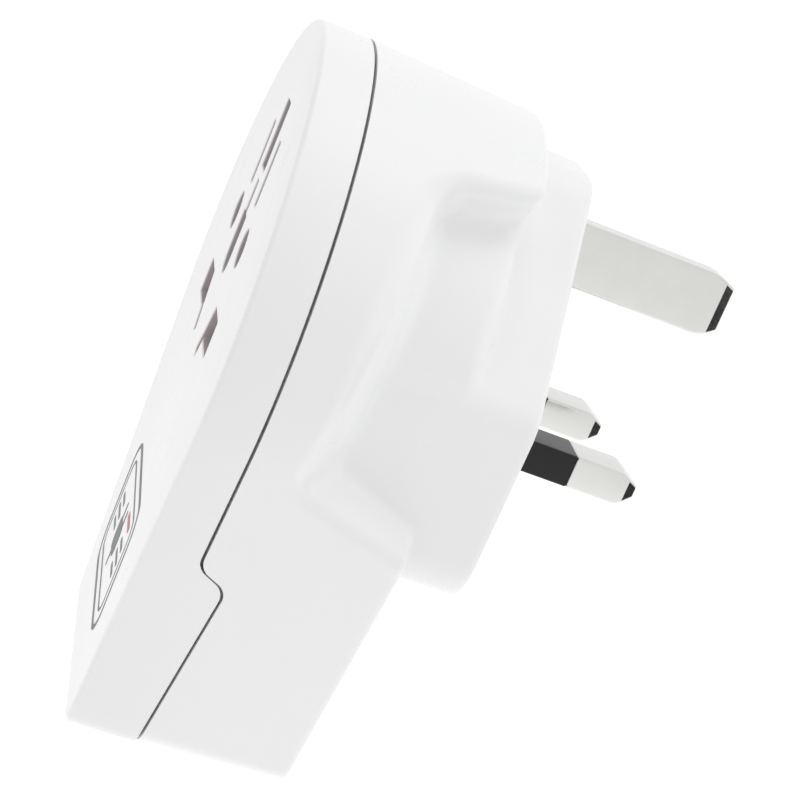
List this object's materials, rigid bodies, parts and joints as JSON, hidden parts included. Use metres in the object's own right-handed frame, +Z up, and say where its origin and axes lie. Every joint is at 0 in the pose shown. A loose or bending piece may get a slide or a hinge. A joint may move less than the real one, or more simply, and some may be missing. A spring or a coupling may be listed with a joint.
{
  "type": "plug-in mains travel adapter",
  "caption": "Plug-through mains travel adapter: flat multi-standard socket face in a tapering round case, with side finger grips and a fused three-pin plug behind.",
  "frame": {"origin": "midway between the live and neutral pins, in the rear face of the plug base", "axes": "+Y the way the plug's pins point, -Y out of the socket face, +Z up to the earth pin, +X to the live side"},
  "size_m": [0.0678, 0.0589, 0.0849],
  "materials": {
    "white_shell": "satin",
    "white_carrier": "satin",
    "plated_pin": "bright nickel plate",
    "black_sleeve": "satin",
    "tinted_shutter": "satin",
    "spring_steel": "bright",
    "cream_moulding": "matte",
    "brass_strip": "satin",
    "plated_cap": "bright nickel plate",
    "fuse_tube": "unglazed ceramic",
    "screw_steel": "zinc plated"
  },
  "bodies": {
    "case": {"front_cover": "white_shell", "rear_housing": "white_shell", "earth_pin": "plated_pin", "live_pin": "plated_pin", "neutral_pin": "plated_pin", "live_pin_sleeve": "black_sleeve", "neutral_pin_sleeve": "black_sleeve", "contact_carrier": "cream_moulding", "live_contact": "brass_strip", "neutral_contact": "brass_strip", "earth_contact": "brass_strip", "earth_strap": "brass_strip", "neutral_strap": "brass_strip", "live_feed_strap": "brass_strip", "live_pin_strap": "brass_strip", "fuse_clip_lower": "brass_strip", "fuse_clip_upper": "brass_strip", "housing_screw_1": "screw_steel", "housing_screw_2": "screw_steel", "housing_screw_3": "screw_steel", "housing_screw_4": "screw_steel", "shutter_spring": "spring_steel"},
    "shutter": {"safety_shutter": "tinted_shutter"},
    "fuse_drawer": {"fuse_carrier": "white_carrier", "fuse_body": "fuse_tube", "fuse_cap_lower": "plated_cap", "fuse_cap_upper": "plated_cap"}
  },
  "joints": [
    {"name": "shutter_slide", "type": "slide", "parent": "case", "child": "shutter", "axis": [0, 0, -1], "range_m": [0, 0.0056], "stiffness_N_per_m": 60, "springref_m": -0.004, "deforming": ["shutter_spring"]},
    {"name": "fuse_carrier_slide", "type": "slide", "parent": "case", "child": "fuse_drawer", "axis": [0, 1, 0], "range_m": [0, 0.012]}
  ]
}
